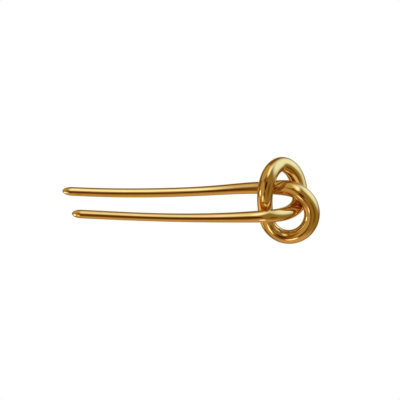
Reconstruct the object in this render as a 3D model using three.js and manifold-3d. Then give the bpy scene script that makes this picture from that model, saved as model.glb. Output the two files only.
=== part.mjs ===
// A hair pin of polished gold-tone brass: a tapering round bar, tied in an overhand knot, with its two
// ends running on side by side as prongs. The bar is made up of four bent lengths that butt together
// where one strand passes under another. A dowel bridges each butt joint inside the bar, and the strand
// on top hides the joint from the front.
// Millimetres. The pin lies on its back: +X runs from the prong tips to the knot, z = 0 is the table.
import * as THREE from "three";
import { mergeVertices } from "three/addons/utils/BufferGeometryUtils.js";
import Module from "manifold-3d";

// The bar's axis, from the upper prong's tip through the knot to the lower prong's tip. Each row is a
// control point: x, y, height above the table, and the bar's diameter there.
const UPPER_PRONG_ROUTE = [
  [-45.0, 3.2, 1.5, 3.1],
  [-30.0, 2.5, 1.9, 3.2],
  [-12.0, 2.45, 2.0, 3.3],
  [6.0, 3.15, 1.95, 3.3],
  [19.0, 4.25, 3.8, 4.0],
  [26.5, 4.3, 5.0, 4.55],
  [33.0, 4.55, 6.7, 5.8],
];
const RIGHT_LOOP_CENTRE = [34.0, -4.8];
const RIGHT_LOOP_RADIUS = 8.8;
// The right loop's rows hold an angle in degrees in place of x and y.
const RIGHT_LOOP_ROUTE = [
  [62, 9.8, 5.55],
  [20, 7.4, 5.65],
  [-22, 5.5, 5.6],
  [-64, 3.5, 5.15],
  [-106, 1.9, 4.85],
];
const TOP_LOOP_ROUTE = [
  [26.8, -9.3, 2.8, 5.05],
  [25.8, -4.4, 6.2, 5.4],
  [25.35, 2.2, 10.8, 5.65],
  [26.9, 9.25, 12.3, 5.75],
  [30.35, 12.9, 7.4, 5.3],
  [34.0, 12.05, 6.3, 5.55],
  [36.85, 8.45, 3.0, 5.8],
];
const LOWER_PRONG_ROUTE = [
  [38.15, 2.85, 2.2, 5.45],
  [37.9, -1.8, 2.8, 5.4],
  [33.6, -4.9, 8.0, 4.75],
  [27.0, -5.6, 12.8, 4.5],
  [19.0, -5.9, 11.8, 3.85],
  [6.0, -6.25, 10.7, 3.2],
  [-12.0, -6.05, 8.3, 2.9],
  [-28.0, -5.35, 6.0, 3.05],
  [-41.6, -4.7, 4.0, 3.1],
];

const TIP_NOSE = 2.2; // length of a prong's bullet-shaped tip, in tip radii
const SEAM_GAP = 0.3; // between the end faces of two lengths of bar
const DOWEL_RADIUS = 0.8;
const DOWEL_LENGTH = 4.4;
const DOWEL_CHAMFER = 0.2;
const DOWEL_CLEARANCE = 0.3; // all round the dowel, and past its ends

const BAR_SIDES = 20;
const DOWEL_SIDES = 16;
const RINGS_PER_SPAN = 6; // rings of the bar between two control points
const CROSSING_SAMPLES = 600; // points along the whole bar when looking for its crossings
const LEAST_CROSSING_RUN = 20; // samples between two strands that can cross
const SHORT_STEP = 1e-4; // in t, for measuring how fast the route runs
const MERGE_DISTANCE = 1e-4; // points of one solid closer than this are one point
const TABLE_SIZE = 200;

const GOLD = { color: 0xc8913c, metalness: 1, roughness: 0.14 };
const DOWEL_BRASS = { color: 0xb08d57, metalness: 1, roughness: 0.4 };

const wasm = await Module();
wasm.setup();

// A uniform cubic B-spline over the control points, which starts and ends on its end points.
class BarRoute extends THREE.Curve {
  constructor(controls) {
    super();
    const first = controls[0];
    const last = controls.at(-1);
    this.controls = [first, first, ...controls, last, last];
    this.spans = this.controls.length - 3;
  }

  valueAt(t, column) {
    const along = t * this.spans;
    const span = Math.min(Math.floor(along), this.spans - 1);
    const u = along - span;
    const weights = [
      (1 - u) ** 3,
      3 * u ** 3 - 6 * u ** 2 + 4,
      -3 * u ** 3 + 3 * u ** 2 + 3 * u + 1,
      u ** 3,
    ];
    return weights.reduce((sum, weight, i) => sum + weight * this.controls[span + i][column], 0) / 6;
  }

  getPoint(t, target = new THREE.Vector3()) {
    return target.set(this.valueAt(t, 0), this.valueAt(t, 1), this.valueAt(t, 2));
  }

  // The bar's radius at t, drawn in to a rounded point over each prong's nose.
  radiusAt(t) {
    const nearTip = t < 0.5 ? 0 : 1;
    const nose = (TIP_NOSE * this.valueAt(nearTip, 3)) / 2;
    const inwards = Math.min(this.getPoint(t).distanceTo(this.getPoint(nearTip)) / nose, 1);
    return (this.valueAt(t, 3) / 2) * Math.sqrt(1 - (1 - inwards) ** 2);
  }

  // How much t changes over a short length of the bar.
  shareOf(length, t) {
    return (length * SHORT_STEP) / this.getPoint(t).distanceTo(this.getPoint(t + SHORT_STEP));
  }
}

function onRightLoop([degrees, height, diameter]) {
  const angle = THREE.MathUtils.degToRad(degrees);
  const x = RIGHT_LOOP_CENTRE[0] + RIGHT_LOOP_RADIUS * Math.cos(angle);
  const y = RIGHT_LOOP_CENTRE[1] + RIGHT_LOOP_RADIUS * Math.sin(angle);
  return [x, y, height, diameter];
}

// Where the plan segments a-b and c-d cross, as shares of each, or null.
function planCrossing(a, b, c, d) {
  const first = new THREE.Vector2(b.x - a.x, b.y - a.y);
  const second = new THREE.Vector2(d.x - c.x, d.y - c.y);
  const between = new THREE.Vector2(c.x - a.x, c.y - a.y);
  const turn = first.cross(second);
  const alongFirst = between.cross(second) / turn;
  const alongSecond = between.cross(first) / turn;
  const inside = [alongFirst, alongSecond].every((share) => share >= 0 && share < 1);
  return inside ? [alongFirst, alongSecond] : null;
}

// The places, as t, where the bar passes under itself.
function underCrossings(route) {
  const points = route.getPoints(CROSSING_SAMPLES);
  const unders = [];
  for (let i = 0; i < CROSSING_SAMPLES; i++) {
    for (let j = i + LEAST_CROSSING_RUN; j < CROSSING_SAMPLES; j++) {
      const shares = planCrossing(points[i], points[i + 1], points[j], points[j + 1]);
      if (!shares) continue;
      const firstIsLower = points[i].z < points[j].z;
      unders.push(firstIsLower ? (i + shares[0]) / CROSSING_SAMPLES : (j + shares[1]) / CROSSING_SAMPLES);
    }
  }
  return unders.sort((a, b) => a - b);
}

// Rings of points round the bar from one t to another, each turned as little as it can be from the last.
function barRings(route, from, to) {
  const count = Math.ceil((to - from) * route.spans * RINGS_PER_SPAN);
  const normal = new THREE.Vector3(0, 0, 1);
  const rings = [];
  for (let i = 0; i <= count; i++) {
    const t = from + ((to - from) * i) / count;
    const tangent = route.getTangent(t);
    normal.addScaledVector(tangent, -normal.dot(tangent)).normalize();
    const side = new THREE.Vector3().crossVectors(tangent, normal);
    const centre = route.getPoint(t);
    const radius = route.radiusAt(t);
    const ring = [];
    for (let k = 0; k < BAR_SIDES; k++) {
      const angle = (2 * Math.PI * k) / BAR_SIDES;
      const point = centre.clone().addScaledVector(normal, radius * Math.cos(angle));
      ring.push(point.addScaledVector(side, radius * Math.sin(angle)));
    }
    rings.push({ centre, radius, ring });
  }
  return rings;
}

// One length of bar: a skin over its rings, closed by a fan at each end.
function barGeometry(route, from, to) {
  const rings = barRings(route, from, to);
  const start = rings[0].centre;
  const end = rings.at(-1).centre;
  const skin = rings.filter(({ radius }) => radius > 0).map(({ ring }) => ring);
  const points = [start, ...skin.flat(), end];
  const triangles = [];
  const index = (ring, k) => 1 + ring * BAR_SIDES + (k % BAR_SIDES);
  for (let k = 0; k < BAR_SIDES; k++) {
    triangles.push(0, index(0, k + 1), index(0, k));
    for (let ring = 0; ring < skin.length - 1; ring++) {
      triangles.push(index(ring, k), index(ring, k + 1), index(ring + 1, k));
      triangles.push(index(ring, k + 1), index(ring + 1, k + 1), index(ring + 1, k));
    }
    triangles.push(points.length - 1, index(skin.length - 1, k), index(skin.length - 1, k + 1));
  }
  return new THREE.BufferGeometry().setFromPoints(points).setIndex(triangles);
}

function toSolid(geometry) {
  const bare = geometry.clone();
  bare.deleteAttribute("normal");
  bare.deleteAttribute("uv");
  const merged = mergeVertices(bare, MERGE_DISTANCE);
  return new wasm.Manifold(
    new wasm.Mesh({
      numProp: 3,
      vertProperties: merged.attributes.position.array,
      triVerts: new Uint32Array(merged.index.array),
    }),
  );
}

function toGeometry(solid) {
  const { vertProperties, triVerts } = solid.getMesh();
  const geometry = new THREE.BufferGeometry();
  geometry.setAttribute("position", new THREE.BufferAttribute(vertProperties, 3));
  geometry.setIndex(new THREE.BufferAttribute(triVerts, 1));
  geometry.computeVertexNormals();
  return geometry;
}

// A turn from a lathe's or cylinder's own axis to the bar's direction at a seam.
function alongBar(route, seam) {
  return new THREE.Quaternion().setFromUnitVectors(new THREE.Vector3(0, 1, 0), route.getTangent(seam));
}

function socketAt(route, seam) {
  const radius = DOWEL_RADIUS + DOWEL_CLEARANCE;
  const length = DOWEL_LENGTH + 2 * DOWEL_CLEARANCE;
  const socket = new THREE.CylinderGeometry(radius, radius, length, DOWEL_SIDES);
  const { x, y, z } = route.getPoint(seam);
  return toSolid(socket.applyQuaternion(alongBar(route, seam)).translate(x, y, z));
}

function tableSolid() {
  return toSolid(new THREE.BoxGeometry(TABLE_SIZE, TABLE_SIZE, TABLE_SIZE).translate(0, 0, -TABLE_SIZE / 2));
}

// One length of bar between two seams or tips, lapped flat where it meets the table, with its dowel sockets.
function bar(name, route, from, to, seams) {
  const start = seams.includes(from) ? from + route.shareOf(SEAM_GAP / 2, from) : from;
  const end = seams.includes(to) ? to - route.shareOf(SEAM_GAP / 2, to) : to;
  let solid = toSolid(barGeometry(route, start, end)).subtract(tableSolid());
  for (const seam of [from, to].filter((t) => seams.includes(t))) {
    solid = solid.subtract(socketAt(route, seam));
  }
  const mesh = new THREE.Mesh(toGeometry(solid), new THREE.MeshStandardMaterial(GOLD));
  mesh.name = name;
  return mesh;
}

// A turned pin with chamfered ends, across the seam and on the bar's axis.
function dowel(name, route, seam) {
  const half = DOWEL_LENGTH / 2;
  const profile = [
    [0, -half],
    [DOWEL_RADIUS - DOWEL_CHAMFER, -half],
    [DOWEL_RADIUS, -half + DOWEL_CHAMFER],
    [DOWEL_RADIUS, half - DOWEL_CHAMFER],
    [DOWEL_RADIUS - DOWEL_CHAMFER, half],
    [0, half],
  ].map(([x, y]) => new THREE.Vector2(x, y));
  const mesh = new THREE.Mesh(
    new THREE.LatheGeometry(profile, DOWEL_SIDES),
    new THREE.MeshStandardMaterial(DOWEL_BRASS),
  );
  mesh.name = name;
  mesh.position.copy(route.getPoint(seam));
  mesh.quaternion.copy(alongBar(route, seam));
  return mesh;
}

function hairPin() {
  const route = new BarRoute([
    ...UPPER_PRONG_ROUTE,
    ...RIGHT_LOOP_ROUTE.map(onRightLoop),
    ...TOP_LOOP_ROUTE,
    ...LOWER_PRONG_ROUTE,
  ]);
  const seams = underCrossings(route);
  const [upperSeam, loopSeam, lowerSeam] = seams;
  const pin = new THREE.Group();
  pin.add(
    bar("upper_prong", route, 0, upperSeam, seams),
    bar("right_loop", route, upperSeam, loopSeam, seams),
    bar("top_loop", route, loopSeam, lowerSeam, seams),
    bar("lower_prong", route, lowerSeam, 1, seams),
    dowel("upper_prong_dowel", route, upperSeam),
    dowel("loop_dowel", route, loopSeam),
    dowel("lower_prong_dowel", route, lowerSeam),
  );
  return pin;
}

export default hairPin();
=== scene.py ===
"""A hair pin of polished gold-tone metal, tied in an overhand knot and lying on its back on a white floor."""
import math

import bmesh
import bpy
import numpy as np
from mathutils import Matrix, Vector


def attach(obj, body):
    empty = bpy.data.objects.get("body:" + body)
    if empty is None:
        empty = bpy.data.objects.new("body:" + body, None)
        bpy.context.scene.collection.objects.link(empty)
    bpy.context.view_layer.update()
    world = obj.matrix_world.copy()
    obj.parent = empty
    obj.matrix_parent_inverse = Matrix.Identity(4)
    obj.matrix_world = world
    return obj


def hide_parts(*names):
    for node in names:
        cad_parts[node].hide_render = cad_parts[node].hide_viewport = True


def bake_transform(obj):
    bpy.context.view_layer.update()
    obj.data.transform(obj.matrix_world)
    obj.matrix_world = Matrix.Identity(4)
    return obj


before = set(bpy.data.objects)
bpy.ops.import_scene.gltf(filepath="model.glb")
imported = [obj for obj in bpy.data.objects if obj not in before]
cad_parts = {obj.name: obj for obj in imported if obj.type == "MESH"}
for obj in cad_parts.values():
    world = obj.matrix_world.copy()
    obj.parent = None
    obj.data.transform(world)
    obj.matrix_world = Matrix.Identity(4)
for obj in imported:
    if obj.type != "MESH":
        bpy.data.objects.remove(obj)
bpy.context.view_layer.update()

MM = 0.001

# The bar's axis, from the upper prong's tip through the knot to the lower prong's tip, in millimetres.
# Each row is a control point: x, y, height above the table, and the bar's diameter there.
UPPER_PRONG_ROUTE = [
    (-45.0, 3.2, 1.5, 3.1),
    (-30.0, 2.5, 1.9, 3.2),
    (-12.0, 2.45, 2.0, 3.3),
    (6.0, 3.15, 1.95, 3.3),
    (19.0, 4.25, 3.8, 4.0),
    (26.5, 4.3, 5.0, 4.55),
    (33.0, 4.55, 6.7, 5.8),
]
RIGHT_LOOP_CENTRE = (34.0, -4.8)
RIGHT_LOOP_RADIUS = 8.8
# The right loop's rows hold an angle in degrees in place of x and y.
RIGHT_LOOP_ROUTE = [
    (62, 9.8, 5.55),
    (20, 7.4, 5.65),
    (-22, 5.5, 5.6),
    (-64, 3.5, 5.15),
    (-106, 1.9, 4.85),
]
TOP_LOOP_ROUTE = [
    (26.8, -9.3, 2.8, 5.05),
    (25.8, -4.4, 6.2, 5.4),
    (25.35, 2.2, 10.8, 5.65),
    (26.9, 9.25, 12.3, 5.75),
    (30.35, 12.9, 7.4, 5.3),
    (34.0, 12.05, 6.3, 5.55),
    (36.85, 8.45, 3.0, 5.8),
]
LOWER_PRONG_ROUTE = [
    (38.15, 2.85, 2.2, 5.45),
    (37.9, -1.8, 2.8, 5.4),
    (33.6, -4.9, 8.0, 4.75),
    (27.0, -5.6, 12.8, 4.5),
    (19.0, -5.9, 11.8, 3.85),
    (6.0, -6.25, 10.7, 3.2),
    (-12.0, -6.05, 8.3, 2.9),
    (-28.0, -5.35, 6.0, 3.05),
    (-41.6, -4.7, 4.0, 3.1),
]
TIP_NOSE = 2.2  # length of a prong's bullet-shaped tip, in tip radii
SEAM_GAP = 0.04 * MM  # between the end faces of two lengths of bar
SEAM_BEVEL = 0.12 * MM  # on the rim of each end face

BAR_SIDES = 64
BAR_TURN = 2 * math.pi / BAR_SIDES  # from one side of the bar to the next
RINGS_PER_SPAN = 24  # rings of the bar between two control points
CROSSING_SAMPLES = 600  # points along the whole bar when looking for its crossings
LEAST_CROSSING_RUN = 20  # samples between two strands that can cross
SMALL_STEP = 1e-4  # in t, for the bar's direction beside a tip and for its length per t
SHARP_EDGE = math.radians(35)

# The photograph is square and looks straight down. Its sizes are in pixels.
PHOTO_SIZE = 400
PIN_LENGTH_IN_PHOTO = 258.4
ORIGIN_IN_PHOTO = (191.2, 200.1)  # where the frame's origin shows
PIN_LENGTH = 90 * MM
PHOTO_SCALE = PIN_LENGTH / PIN_LENGTH_IN_PHOTO  # metres to a pixel
FOCUS_PLANE = 5.5 * MM  # the height at which PHOTO_SCALE holds
CAMERA_HEIGHT = 1.5  # above that plane
CAMERA_REACH = 50.0
SENSOR = 36.0  # the width of the camera's sensor, in millimetres

# The polish is a little hazy in clouds and along fine polishing lines, and a little wavy.
GOLD = (0.80, 0.51, 0.25)
GOLD_HAZY = (0.81, 0.54, 0.28)
POLISHED_ROUGHNESS = 0.04
CLOUD_SCALE = 160.0  # clouds to a metre
CLOUD_EDGE = (0.35, 0.7)  # the noise at which a cloud starts and is full
CLOUD_ROUGHNESS = 0.03  # added in a cloud
LINE_SCALE = (300.0, 9000.0, 1.0)  # lines to a metre, along the bar and round it
LINE_EDGE = (0.55, 0.8)
LINE_ROUGHNESS = 0.03  # added in a line
LINE_DEPTH = 0.002 * MM
LINE_STRENGTH = 0.2
WAVE_SCALE = 420.0  # waves to a metre
WAVE_DEPTH = 0.02 * MM
WAVE_STRENGTH = 0.25

# The dowels are drawn brass, tarnished in patches.
DOWEL_BRASS = (0.62, 0.42, 0.17)
DRAWN_ROUGHNESS = 0.32
TARNISH_SCALE = 900.0  # patches to a metre
TARNISH_EDGE = (0.4, 0.65)
TARNISH_ROUGHNESS = 0.2  # added in a patch
TARNISH_SHADE = 0.6  # the share of the brass's colour that is left

WHITE = (1.0, 1.0, 1.0)
FLOOR_REACH = 6.0  # half the floor's side
FLOOR_DROP = 0.02 * MM  # keeps the floor's face off the flats that rest on it

# What the metal mirrors. Angles are in degrees: a compass angle from +X towards +Y, and one from straight up.
ROOM = (0.25, 0.13, 0.01)
# Round patches of the room, each over the last: the two angles of its middle, how far out it starts and from
# where in it is full, and its colour.
PATCHES = [
    (135, 76, 38, 33, (0.58, 0.47, 0.15)),  # back wall, to the left
    (207, 66, 36, 29, (0.55, 0.44, 0.16)),  # left wall
    (275, 89, 48, 25, (0.65, 0.48, 0.18)),  # front wall, low down
    (352, 47, 69, 51, (0.33, 0.25, 0.06)),  # dim corner on the right
    (318, 53, 18, 8, (0.20, 0.11, 0.0)),  # dark gap beside it
    (245, 19, 17.5, 10, (0.10, 0.01, 0.0)),  # dark stand overhead
    (248, 47, 11, 6, (0.18, 0.08, 0.0)),  # the lower end of the stand
    (35, 92, 52, 14, (1.05, 1.45, 1.45)),  # reflector at the back right
    (213, 108, 18, 13, (1.02, 0.76, 0.27)),  # low light at the left
    (237, 60, 9.5, 3, (1.55, 1.64, 1.33)),  # small lamp at the front left
    (0, 180, 47, 2, (0.73, 0.96, 0.73)),  # pale table below
]
SOFTBOX = (1.50, 1.85, 1.56)
# The softbox's straight sides, each by the two angles of the direction that points from it into the box.
SOFTBOX_SIDES = [(158, 101), (6, 73), (88, 108)]
SOFTBOX_BLUR = 11  # half the width of each side's soft edge
SOFTBOX_FADE = (122, 25)  # angles from straight up between which the box fades in

# Two small round lamps close to the pin, each by a point of the pin in millimetres, the two angles at which
# it is seen from there, its distance, its diameter and its radiance.
LAMP_COLOUR = (1.0, 0.97, 0.8)
LAMPS = [
    ("tip_lamp", (-45.0, 3.2, 1.5), (222, 73), 60 * MM, 28 * MM, 2.5),
    ("knot_lamp", (27.5, -9.4, 4.5), (270, 56), 30 * MM, 8 * MM, 1.8),
]


# The bar's route


def on_right_loop(degrees, height, diameter):
    angle = math.radians(degrees)
    x = RIGHT_LOOP_CENTRE[0] + RIGHT_LOOP_RADIUS * math.cos(angle)
    y = RIGHT_LOOP_CENTRE[1] + RIGHT_LOOP_RADIUS * math.sin(angle)
    return (x, y, height, diameter)


def control_points():
    """The route's rows in metres, with its ends repeated so that the curve reaches them."""
    rows = UPPER_PRONG_ROUTE + [on_right_loop(*row) for row in RIGHT_LOOP_ROUTE]
    rows = rows + TOP_LOOP_ROUTE + LOWER_PRONG_ROUTE
    return np.array([rows[0]] * 2 + rows + [rows[-1]] * 2) * MM


CONTROLS = control_points()
SPANS = len(CONTROLS) - 3


def spline(t, weights):
    """A sum of the control points around each t, weighted by a function of the place in the span."""
    along = np.asarray(t, float) * SPANS
    span = np.minimum(along.astype(int), SPANS - 1)
    u = along - span
    return sum(w[:, None] * CONTROLS[span + i] for i, w in enumerate(weights(u))) / 6


def place_weights(u):
    """The uniform cubic B-spline's weights, in sixths."""
    return (1 - u) ** 3, 3 * u**3 - 6 * u**2 + 4, -3 * u**3 + 3 * u**2 + 3 * u + 1, u**3


def slope_weights(u):
    """The slopes of those weights."""
    return -3 * (1 - u) ** 2, 9 * u**2 - 12 * u, -9 * u**2 + 6 * u + 3, 3 * u**2


def points_at(t):
    return spline(t, place_weights)[:, :3]


def radii_at(t):
    """The bar's radius at each t, drawn in to a rounded point over each prong's nose."""
    radius = spline(t, place_weights)[:, 3] / 2
    for tip in (0.0, 1.0):
        end = spline([tip], place_weights)[0]
        inwards = np.linalg.norm(points_at(t) - end[:3], axis=1) / (TIP_NOSE * end[3] / 2)
        radius = radius * np.sqrt(1 - (1 - np.minimum(inwards, 1)) ** 2)
    return radius


def tangents_at(t):
    slopes = spline(np.clip(t, SMALL_STEP, 1 - SMALL_STEP), slope_weights)[:, :3]
    return slopes / np.linalg.norm(slopes, axis=1)[:, None]


def cross_2d(a, b):
    return a[..., 0] * b[..., 1] - a[..., 1] * b[..., 0]


def under_crossings():
    """The three places, as t, where the bar passes under itself."""
    points = points_at(np.linspace(0, 1, CROSSING_SAMPLES + 1))
    steps = np.diff(points, axis=0)
    unders = []
    for i in range(CROSSING_SAMPLES - LEAST_CROSSING_RUN):
        later = np.arange(i + LEAST_CROSSING_RUN, CROSSING_SAMPLES)
        between = points[later] - points[i]
        turn = cross_2d(steps[i], steps[later])
        share_first = cross_2d(between, steps[later]) / turn
        share_later = cross_2d(between, steps[i]) / turn
        inside = (share_first >= 0) & (share_first < 1) & (share_later >= 0) & (share_later < 1)
        for k in np.nonzero(inside)[0]:
            first_is_lower = points[i, 2] < points[later[k], 2]
            place = i + share_first[k] if first_is_lower else later[k] + share_later[k]
            unders.append(place / CROSSING_SAMPLES)
    return sorted(unders)


# The lengths of bar


def share_of(length, t):
    """How much t changes over a short length of the bar."""
    near = points_at([t, t + SMALL_STEP])
    return length * SMALL_STEP / np.linalg.norm(near[1] - near[0])


def ring_places(start, end, tip_at_start, tip_at_end):
    """The t of each ring, with one more ring for the bevel at each seam."""
    if not tip_at_start:
        start += share_of(SEAM_GAP / 2, start)
    if not tip_at_end:
        end -= share_of(SEAM_GAP / 2, end)
    places = list(np.linspace(start, end, math.ceil((end - start) * SPANS * RINGS_PER_SPAN) + 1))
    if not tip_at_start:
        places.insert(1, start + share_of(SEAM_BEVEL, start))
    if not tip_at_end:
        places.insert(-1, end - share_of(SEAM_BEVEL, end))
    return np.array(places)


def ring_frames(tangents):
    """Two directions across the bar at each ring, turned as little as they can be from ring to ring."""
    normal = np.array([0.0, 0.0, 1.0])
    normals = []
    for tangent in tangents:
        normal = normal - tangent * (normal @ tangent)
        normal = normal / np.linalg.norm(normal)
        normals.append(normal)
    normals = np.array(normals)
    return normals, np.cross(tangents, normals)


def rings_around(centres, radii, tangents):
    """The corners of each ring."""
    normals, sides = ring_frames(tangents)
    angles = np.arange(BAR_SIDES) * BAR_TURN
    up = normals[:, None] * np.cos(angles)[None, :, None]
    across = sides[:, None] * np.sin(angles)[None, :, None]
    return centres[:, None] + radii[:, None, None] * (up + across)


def join_rings(made, rings, radii, lengths):
    """Adds faces from ring to ring, mapped in metres along the bar and round it, and returns the corners."""
    uv = made.loops.layers.uv.new("UVMap")
    grid = [[made.verts.new(corner) for corner in ring] for ring in rings]
    for i in range(len(grid) - 1):
        for k in range(BAR_SIDES):
            right = (k + 1) % BAR_SIDES
            face = made.faces.new((grid[i][k], grid[i][right], grid[i + 1][right], grid[i + 1][k]))
            places = ((i, k), (i, k + 1), (i + 1, k + 1), (i + 1, k))
            for loop, (ring, side) in zip(face.loops, places):
                loop[uv].uv = (lengths[ring], radii[ring] * side * BAR_TURN)
    return grid


def bar(name, start, end, tip_at_start=False, tip_at_end=False):
    """One length of bar between two seams or tips, lapped flat where it meets the table."""
    t = ring_places(start, end, tip_at_start, tip_at_end)
    centres = points_at(t)
    radii = radii_at(t)
    if not tip_at_start:
        radii[0] -= SEAM_BEVEL
    if not tip_at_end:
        radii[-1] -= SEAM_BEVEL
    rings = rings_around(centres, radii, tangents_at(t))
    steps = np.linalg.norm(np.diff(centres, axis=0), axis=1)
    lengths = np.concatenate([[0], np.cumsum(steps)])

    made = bmesh.new()
    open_rings = slice(int(tip_at_start), len(t) - int(tip_at_end))
    grid = join_rings(made, rings[open_rings], radii[open_rings], lengths[open_rings])
    close_end(made, grid[0][::-1], centres[0] if tip_at_start else None)
    close_end(made, grid[-1], centres[-1] if tip_at_end else None)
    cut_by_table(made)
    return finished_piece(name, made)


def close_end(made, ring, point):
    """Closes a bar's end with one flat face, or with a fan to a tip."""
    if point is None:
        made.faces.new(ring)
        return
    tip = made.verts.new(point)
    for k in range(len(ring)):
        made.faces.new((ring[k], ring[(k + 1) % len(ring)], tip))


def cut_by_table(made):
    """Takes off what lies below the table, and closes the cut with a flat face."""
    everything = made.verts[:] + made.edges[:] + made.faces[:]
    cut = bmesh.ops.bisect_plane(
        made, geom=everything, plane_co=(0, 0, 0), plane_no=(0, 0, 1), clear_inner=True
    )
    rim = [part for part in cut["geom_cut"] if isinstance(part, bmesh.types.BMEdge)]
    if rim:
        bmesh.ops.holes_fill(made, edges=rim)


def finished_piece(name, made):
    bmesh.ops.recalc_face_normals(made, faces=made.faces[:])
    mesh = bpy.data.meshes.new(name)
    made.to_mesh(mesh)
    made.free()
    mesh.shade_smooth()
    mesh.set_sharp_from_angle(angle=SHARP_EDGE)
    piece = bpy.data.objects.new(name, mesh)
    bpy.context.scene.collection.objects.link(piece)
    return piece


# Materials


class Nodes:
    """A node tree that is filled in one call to a node."""

    def __init__(self, owner):
        owner.use_nodes = True
        self.tree = owner.node_tree
        self.tree.nodes.clear()

    def add(self, kind, settings=None, **inputs):
        made = self.tree.nodes.new(kind)
        for key, value in (settings or {}).items():
            setattr(made, key, value)
        for key, value in inputs.items():
            self.feed(made.inputs[key.replace("_", " ")], value)
        return made

    def feed(self, socket, value):
        if isinstance(value, bpy.types.NodeSocket):
            self.tree.links.new(value, socket)
        else:
            socket.default_value = value

    def math(self, operation, *values):
        made = self.tree.nodes.new("ShaderNodeMath")
        made.operation = operation
        for socket, value in zip(made.inputs, values):
            self.feed(socket, value)
        return made.outputs[0]

    def smooth(self, value, low, high):
        """0 below low, 1 above high, and an S curve between; low may be the greater."""
        made = self.add("ShaderNodeMapRange", {"interpolation_type": "SMOOTHSTEP"}, Value=value)
        made.inputs["From Min"].default_value = low
        made.inputs["From Max"].default_value = high
        return made.outputs["Result"]

    def noise(self, place, scale, detail):
        made = self.add("ShaderNodeTexNoise", Vector=place, Scale=scale, Detail=detail)
        return made.outputs["Fac"]

    def mix(self, share, first, second):
        made = self.add("ShaderNodeMix", {"data_type": "RGBA"})
        self.feed(made.inputs["Factor"], share)
        self.feed(made.inputs["A"], first)
        self.feed(made.inputs["B"], second)
        return made.outputs["Result"]


def rgba(colour):
    return (*colour, 1.0)


def gold_material():
    """Mirror polish with a faint cloudiness, fine polishing lines along the bar and a little waviness."""
    material = bpy.data.materials.new("polished_gold")
    nodes = Nodes(material)
    place = nodes.add("ShaderNodeTexCoord")
    stretch = nodes.add("ShaderNodeMapping", Vector=place.outputs["UV"], Scale=LINE_SCALE)
    clouds = nodes.noise(place.outputs["Object"], CLOUD_SCALE, detail=3.0)
    lines = nodes.noise(stretch.outputs["Vector"], 1.0, detail=4.0)
    waves = nodes.noise(place.outputs["Object"], WAVE_SCALE, detail=1.0)
    haze = nodes.smooth(clouds, *CLOUD_EDGE)
    hazy = nodes.math("MULTIPLY_ADD", haze, CLOUD_ROUGHNESS, POLISHED_ROUGHNESS)
    rubbed = nodes.math("MULTIPLY_ADD", nodes.smooth(lines, *LINE_EDGE), LINE_ROUGHNESS, hazy)
    wavy = nodes.add("ShaderNodeBump", Height=waves, Strength=WAVE_STRENGTH, Distance=WAVE_DEPTH)
    lined = nodes.add("ShaderNodeBump", Height=lines, Strength=LINE_STRENGTH, Distance=LINE_DEPTH)
    nodes.feed(lined.inputs["Normal"], wavy.outputs["Normal"])
    shader = nodes.add("ShaderNodeBsdfPrincipled", Metallic=1.0, Roughness=rubbed)
    nodes.feed(shader.inputs["Base Color"], nodes.mix(haze, rgba(GOLD), rgba(GOLD_HAZY)))
    nodes.feed(shader.inputs["Normal"], lined.outputs["Normal"])
    nodes.add("ShaderNodeOutputMaterial", Surface=shader.outputs["BSDF"])
    return material


def dowel_material():
    """Plain drawn brass, never polished, with tarnish in patches."""
    material = bpy.data.materials.new("dowel_brass")
    nodes = Nodes(material)
    place = nodes.add("ShaderNodeTexCoord")
    patches = nodes.noise(place.outputs["Object"], TARNISH_SCALE, detail=4.0)
    tarnish = nodes.smooth(patches, *TARNISH_EDGE)
    darker = tuple(TARNISH_SHADE * channel for channel in DOWEL_BRASS)
    rough = nodes.math("MULTIPLY_ADD", tarnish, TARNISH_ROUGHNESS, DRAWN_ROUGHNESS)
    shader = nodes.add("ShaderNodeBsdfPrincipled", Metallic=1.0, Roughness=rough)
    nodes.feed(shader.inputs["Base Color"], nodes.mix(tarnish, rgba(DOWEL_BRASS), rgba(darker)))
    nodes.add("ShaderNodeOutputMaterial", Surface=shader.outputs["BSDF"])
    return material


# The studio


def direction(azimuth, from_zenith):
    """A unit vector at that compass angle from +X towards +Y, and that angle from straight up, in degrees."""
    turn, tilt = math.radians(azimuth), math.radians(from_zenith)
    return (math.sin(tilt) * math.cos(turn), math.sin(tilt) * math.sin(turn), math.cos(tilt))


def warm_room():
    """A warm dim room with a white softbox, which the metal mirrors. The camera itself sees white."""
    world = bpy.data.worlds.new("room")
    bpy.context.scene.world = world
    nodes = Nodes(world)
    look = nodes.add("ShaderNodeTexCoord").outputs["Generated"]

    def towards(azimuth, from_zenith, low, high):
        """How far a direction lies within an angle of another: 0 outside low degrees and 1 inside high."""
        dot = nodes.add("ShaderNodeVectorMath", {"operation": "DOT_PRODUCT"})
        nodes.feed(dot.inputs[0], look)
        nodes.feed(dot.inputs[1], direction(azimuth, from_zenith))
        return nodes.smooth(dot.outputs["Value"], math.cos(math.radians(low)), math.cos(math.radians(high)))

    colour = rgba(ROOM)
    for azimuth, from_zenith, starts, full, patch in PATCHES:
        colour = nodes.mix(towards(azimuth, from_zenith, starts, full), colour, rgba(patch))
    softbox = towards(0, 0, *SOFTBOX_FADE)
    for azimuth, from_zenith in SOFTBOX_SIDES:
        side = towards(azimuth, from_zenith, 90 + SOFTBOX_BLUR, 90 - SOFTBOX_BLUR)
        softbox = nodes.math("MULTIPLY", softbox, side)
    colour = nodes.mix(softbox, colour, rgba(SOFTBOX))
    seen = nodes.add("ShaderNodeLightPath").outputs["Is Camera Ray"]
    light = nodes.add("ShaderNodeBackground", Color=nodes.mix(seen, colour, rgba(WHITE)), Strength=1.0)
    nodes.add("ShaderNodeOutputWorld", Surface=light.outputs["Background"])


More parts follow.
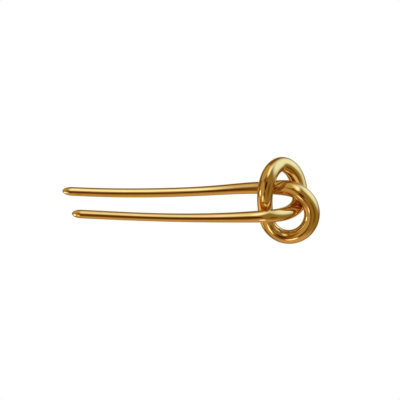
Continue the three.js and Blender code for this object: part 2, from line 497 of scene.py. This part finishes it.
def small_lamp(name, seen_from, angles, distance, diameter, radiance):
    """A round lamp so close to the pin that it shows in only a few places on it."""
    light = bpy.data.lights.new(name, "AREA")
    light.shape = "DISK"
    light.size = diameter
    light.color = LAMP_COLOUR
    face = math.pi * (diameter / 2) ** 2
    light.energy = radiance * math.pi * face  # what a flat disc of that radiance gives off
    lamp = bpy.data.objects.new(name, light)
    bpy.context.scene.collection.objects.link(lamp)
    away = Vector(direction(*angles))
    lamp.location = Vector(seen_from) * MM + distance * away
    lamp.rotation_euler = away.to_track_quat("Z", "Y").to_euler()
    lamp.visible_camera = False


def floor_material():
    """Plain white from above and clear from below."""
    material = bpy.data.materials.new("white_floor")
    nodes = Nodes(material)
    glow = nodes.add("ShaderNodeEmission", Color=rgba(WHITE), Strength=1.0)
    clear = nodes.add("ShaderNodeBsdfTransparent")
    one_sided = nodes.add("ShaderNodeMixShader")
    from_below = nodes.add("ShaderNodeNewGeometry").outputs["Backfacing"]
    for socket, source in zip(one_sided.inputs, (from_below, glow.outputs[0], clear.outputs[0])):
        nodes.feed(socket, source)
    nodes.add("ShaderNodeOutputMaterial", Surface=one_sided.outputs["Shader"])
    return material


def white_floor():
    """A floor that the camera sees and the metal doesn't mirror."""
    mesh = bpy.data.meshes.new("floor")
    signs = [(-1, -1), (1, -1), (1, 1), (-1, 1)]
    corners = [(FLOOR_REACH * x, FLOOR_REACH * y, -FLOOR_DROP) for x, y in signs]
    mesh.from_pydata(corners, [], [(0, 1, 2, 3)])
    mesh.materials.append(floor_material())
    floor = bpy.data.objects.new("floor", mesh)
    bpy.context.scene.collection.objects.link(floor)
    floor.visible_glossy = False
    floor.visible_diffuse = False
    floor.visible_shadow = False


def camera_as_photographed():
    lens = bpy.data.cameras.new("camera")
    lens.sensor_width = SENSOR
    lens.lens = SENSOR * CAMERA_HEIGHT / (PHOTO_SIZE * PHOTO_SCALE)
    lens.clip_end = CAMERA_REACH
    camera = bpy.data.objects.new("camera", lens)
    bpy.context.scene.collection.objects.link(camera)
    centre = PHOTO_SIZE / 2
    across = (centre - ORIGIN_IN_PHOTO[0]) * PHOTO_SCALE
    up = -(centre - ORIGIN_IN_PHOTO[1]) * PHOTO_SCALE
    camera.location = (across, up, FOCUS_PLANE + CAMERA_HEIGHT)
    bpy.context.scene.camera = camera


# The pin


def dress_pin():
    gold = gold_material()
    upper_seam, loop_seam, lower_seam = under_crossings()
    upper_prong = bar("polished_upper_prong", 0.0, upper_seam, tip_at_start=True)
    right_loop = bar("polished_right_loop", upper_seam, loop_seam)
    top_loop = bar("polished_top_loop", loop_seam, lower_seam)
    lower_prong = bar("polished_lower_prong", lower_seam, 1.0, tip_at_end=True)
    bars = {
        "upper_prong": upper_prong,
        "right_loop": right_loop,
        "top_loop": top_loop,
        "lower_prong": lower_prong,
    }
    for node, piece in bars.items():
        piece.data.materials.append(gold)
        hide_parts(node)
    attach(right_loop, "knot")
    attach(top_loop, "knot")
    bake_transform(upper_prong)
    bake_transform(lower_prong)


def dress_dowels():
    brass = dowel_material()
    for node in ("upper_prong_dowel", "loop_dowel", "lower_prong_dowel"):
        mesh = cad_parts[node].data
        mesh.materials.clear()
        mesh.materials.append(brass)


bpy.context.scene.view_settings.view_transform = "Standard"
dress_pin()
dress_dowels()
warm_room()
for lamp in LAMPS:
    small_lamp(*lamp)
white_floor()
camera_as_photographed()
